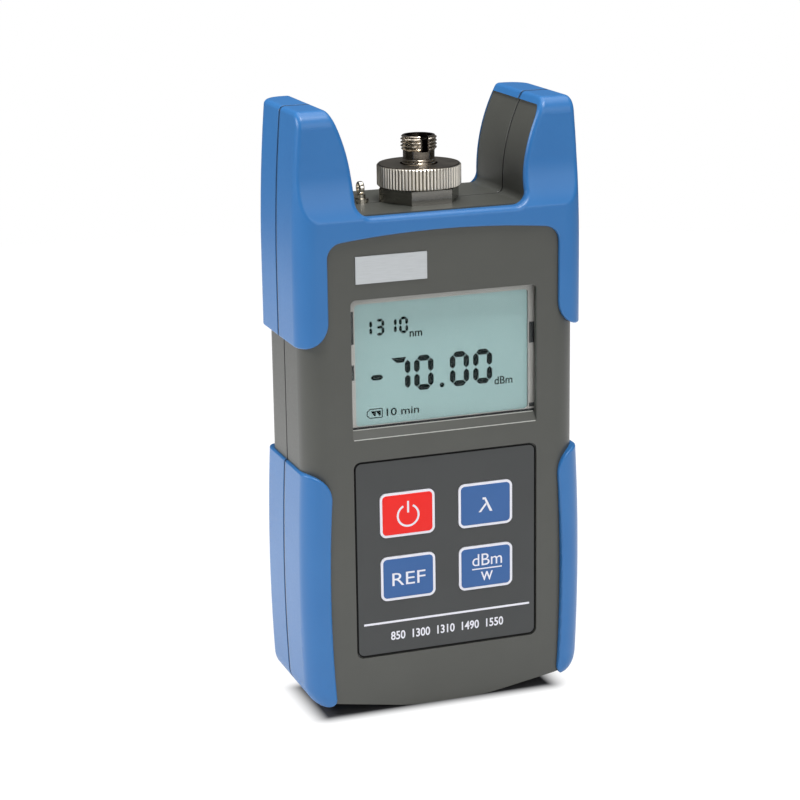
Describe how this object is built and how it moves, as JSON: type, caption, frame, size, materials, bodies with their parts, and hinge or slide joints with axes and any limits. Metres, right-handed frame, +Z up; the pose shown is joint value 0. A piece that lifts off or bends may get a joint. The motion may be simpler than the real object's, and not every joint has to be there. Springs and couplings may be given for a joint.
{
  "type": "optical power meter",
  "caption": "Handheld optical power meter: hard case in soft guards, display, keypad, screw-on fibre adapter between its horns, and a sliding battery door.",
  "frame": {"origin": "middle of the foot, at the bottom of the bounding box", "axes": "+X across the face to the right as seen from the front, -Y out of the front face, +Z up through the fibre port"},
  "size_m": [0.0668, 0.0322, 0.1354],
  "materials": {
    "case_grey": "fine texture",
    "guard_blue": "satin",
    "door_grey": "fine texture",
    "lens_clear": "clear",
    "bezel_white": "matt",
    "lcd_teal": "polarised",
    "diffuser_white": "satin",
    "plate_silver": "brushed",
    "film_grey": "satin film",
    "key_red": "satin",
    "key_blue": "satin",
    "switch_black": "moulded",
    "board_green": "solder mask",
    "chip_black": "moulded",
    "screw_steel": "zinc plated",
    "cell_can": "printed sleeve",
    "contact_nickel": "nickel plated",
    "port_nickel": "satin nickel",
    "nut_nickel": "knurled nickel",
    "adapter_nickel": "polished nickel",
    "sensor_gold": "gold plated",
    "header_black": "moulded"
  },
  "bodies": {
    "case": {"front_shell": "case_grey", "rear_shell": "case_grey", "upper_guard_front": "guard_blue", "upper_guard_rear": "guard_blue", "grip_front_left": "guard_blue", "grip_front_right": "guard_blue", "grip_rear_left": "guard_blue", "grip_rear_right": "guard_blue", "display_window": "lens_clear", "lcd_frame": "bezel_white", "lcd_glass": "lcd_teal", "backlight": "diffuser_white", "name_plate": "plate_silver", "keypad_film": "film_grey", "switch_power": "switch_black", "switch_wavelength": "switch_black", "switch_reference": "switch_black", "switch_unit": "switch_black", "main_board": "board_green", "board_screws": "screw_steel", "board_components": "chip_black", "case_screws": "screw_steel", "cell_left": "cell_can", "cell_middle": "cell_can", "cell_right": "cell_can", "contacts_bottom": "contact_nickel", "contacts_top": "contact_nickel", "port_base": "port_nickel", "port_locknut": "port_nickel", "detector": "sensor_gold", "sensor_board": "board_green", "sensor_header": "header_black", "tether_eye": "port_nickel", "eye_clip": "screw_steel"},
    "adapter": {"fibre_adapter": "adapter_nickel"},
    "nut": {"union_nut": "nut_nickel"},
    "door": {"battery_door": "door_grey"},
    "power_key": {"key_power": "key_red"},
    "wavelength_key": {"key_wavelength": "key_blue"},
    "reference_key": {"key_reference": "key_blue"},
    "unit_key": {"key_unit": "key_blue"}
  },
  "joints": [
    {"name": "power_press", "type": "slide", "parent": "case", "child": "power_key", "axis": [0, 1, 0], "range_m": [0, 0.0004], "stiffness_N_per_m": 800},
    {"name": "wavelength_press", "type": "slide", "parent": "case", "child": "wavelength_key", "axis": [0, 1, 0], "range_m": [0, 0.0004], "stiffness_N_per_m": 800},
    {"name": "reference_press", "type": "slide", "parent": "case", "child": "reference_key", "axis": [0, 1, 0], "range_m": [0, 0.0004], "stiffness_N_per_m": 800},
    {"name": "unit_press", "type": "slide", "parent": "case", "child": "unit_key", "axis": [0, 1, 0], "range_m": [0, 0.0004], "stiffness_N_per_m": 800},
    {"name": "door_slide", "type": "slide", "parent": "case", "child": "door", "axis": [0, 0, -1], "range_m": [0, 0.012]},
    {"name": "adapter_lift", "type": "slide", "parent": "case", "child": "adapter", "axis": [0, 0, 1], "range_m": [0, 0.00226]},
    {"name": "nut_turn", "type": "hinge", "parent": "adapter", "child": "nut", "pos_m": [0, 0, 0.1185], "axis": [0, 0, 1], "range_deg": [0, 1080]}
  ],
  "couplings": [
    {"joint": "adapter_lift", "follows": "nut_turn", "m_per_rad": 0.00011937}
  ]
}
